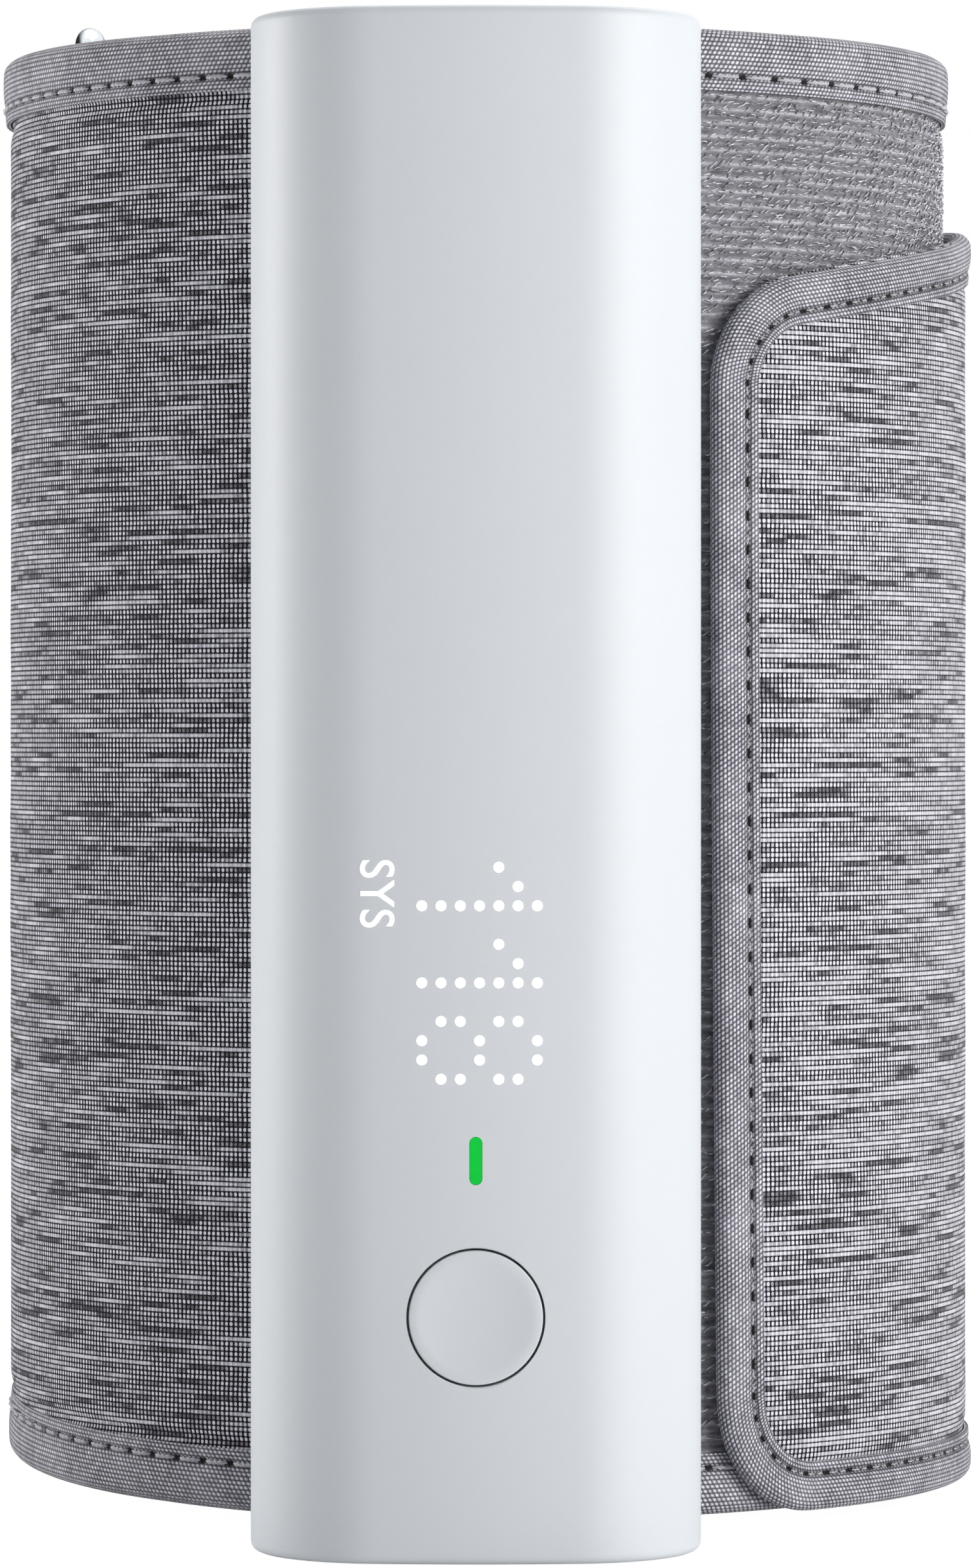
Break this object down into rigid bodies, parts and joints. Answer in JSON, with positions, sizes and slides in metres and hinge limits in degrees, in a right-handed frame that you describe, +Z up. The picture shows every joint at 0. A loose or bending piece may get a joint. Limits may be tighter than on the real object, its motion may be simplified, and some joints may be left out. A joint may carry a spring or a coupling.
{
  "type": "upper arm blood pressure monitor",
  "caption": "Upright oval tube with a round button and a dot display, and a rolled cloth cuff fixed to its back, closed by a chrome ring, a strap and a rounded flap.",
  "frame": {"origin": "centre of the tube's bottom end, on the surface that it stands on", "axes": "+Z up along the tube, -Y towards the display and the button, +X to the right as seen from the display"},
  "size_m": [0.1084, 0.1361, 0.1658],
  "materials": {
    "housing": "satin",
    "seal": "matte",
    "foam": "matte",
    "dark_plastic": "matte",
    "circuit_board": "glossy",
    "diffuser": "matte",
    "status_light": "glossy",
    "clear_plastic": "satin",
    "bladder_film": "matte",
    "steel": "satin",
    "cell_wrap": "glossy",
    "magnet": "matte",
    "coil_wire": "satin",
    "ring_metal": "polished",
    "woven_cloth": "matte",
    "flap_cloth": "matte",
    "strap_cloth": "matte",
    "loop_pile": "matte",
    "lining": "matte",
    "hook_tape": "matte",
    "binding_tape": "matte"
  },
  "bodies": {
    "monitor": {"tube_sleeve": "housing", "bottom_cap": "housing", "top_cap": "housing", "end_seals": "seal", "chassis": "dark_plastic", "main_board": "circuit_board", "board_screws": "steel", "board_chips": "dark_plastic", "radio_shield": "steel", "led_array": "circuit_board", "light_baffle": "dark_plastic", "diffuser_film": "diffuser", "status_led": "status_light", "status_light_pipe": "status_light", "tactile_switch": "dark_plastic", "battery_cells": "cell_wrap", "battery_pads": "foam", "socket_board": "circuit_board", "charging_socket": "steel", "air_manifold": "dark_plastic", "pressure_sensor": "dark_plastic", "air_port": "clear_plastic", "port_seal": "seal", "air_hoses": "seal", "pump_head": "dark_plastic", "pump_diaphragm": "seal", "pump_base": "dark_plastic", "pump_rocker": "dark_plastic", "motor_can": "steel", "motor_end_plate": "dark_plastic", "motor_magnets": "magnet", "motor_mount": "seal", "valve_frame": "steel", "valve_coil": "coil_wire", "valve_spring": "steel", "saddle": "dark_plastic", "clamp_plate": "dark_plastic", "cuff_screws": "steel", "right_panel": "loop_pile", "left_panel": "woven_cloth", "cuff_stiffener": "clear_plastic", "cuff_liner": "lining", "bladder": "bladder_film", "left_binding_top": "binding_tape", "left_binding_bottom": "binding_tape", "right_binding_top": "binding_tape", "right_binding_bottom": "binding_tape", "ring_hem": "woven_cloth", "strap": "strap_cloth", "strap_binding_top": "binding_tape", "strap_binding_bottom": "binding_tape"},
    "button": {"button_cap": "housing", "switch_plunger": "dark_plastic"},
    "ring": {"metal_ring": "ring_metal"},
    "flap": {"flap_panel": "flap_cloth", "hook_tape": "hook_tape", "flap_binding": "binding_tape"},
    "pump_drive": {"pump_rotor": "steel", "pump_crank": "dark_plastic"},
    "valve_core": {"valve_plunger": "steel"}
  },
  "joints": [
    {"name": "button_press", "type": "slide", "parent": "monitor", "child": "button", "axis": [0, 1, 0], "range_m": [0, 0.0006], "stiffness_N_per_m": 2500},
    {"name": "ring_swing", "type": "hinge", "parent": "monitor", "child": "ring", "pos_m": [-0.04502, 0.08695, 0.0841], "axis": [0, 0, 1], "range_deg": [-4, 4]},
    {"name": "flap_peel", "type": "hinge", "parent": "monitor", "child": "flap", "pos_m": [0.05466, 0.07579, 0.071], "axis": [0, 0, 1], "range_deg": [0, 75]},
    {"name": "pump_spin", "type": "hinge", "parent": "monitor", "child": "pump_drive", "pos_m": [-0.0075, -0.0017, 0.128], "axis": [0, 0, 1], "continuous": true},
    {"name": "valve_close", "type": "slide", "parent": "monitor", "child": "valve_core", "axis": [0, 0, -1], "range_m": [0, 0.0008], "stiffness_N_per_m": 400, "deforming": ["valve_spring"]}
  ]
}
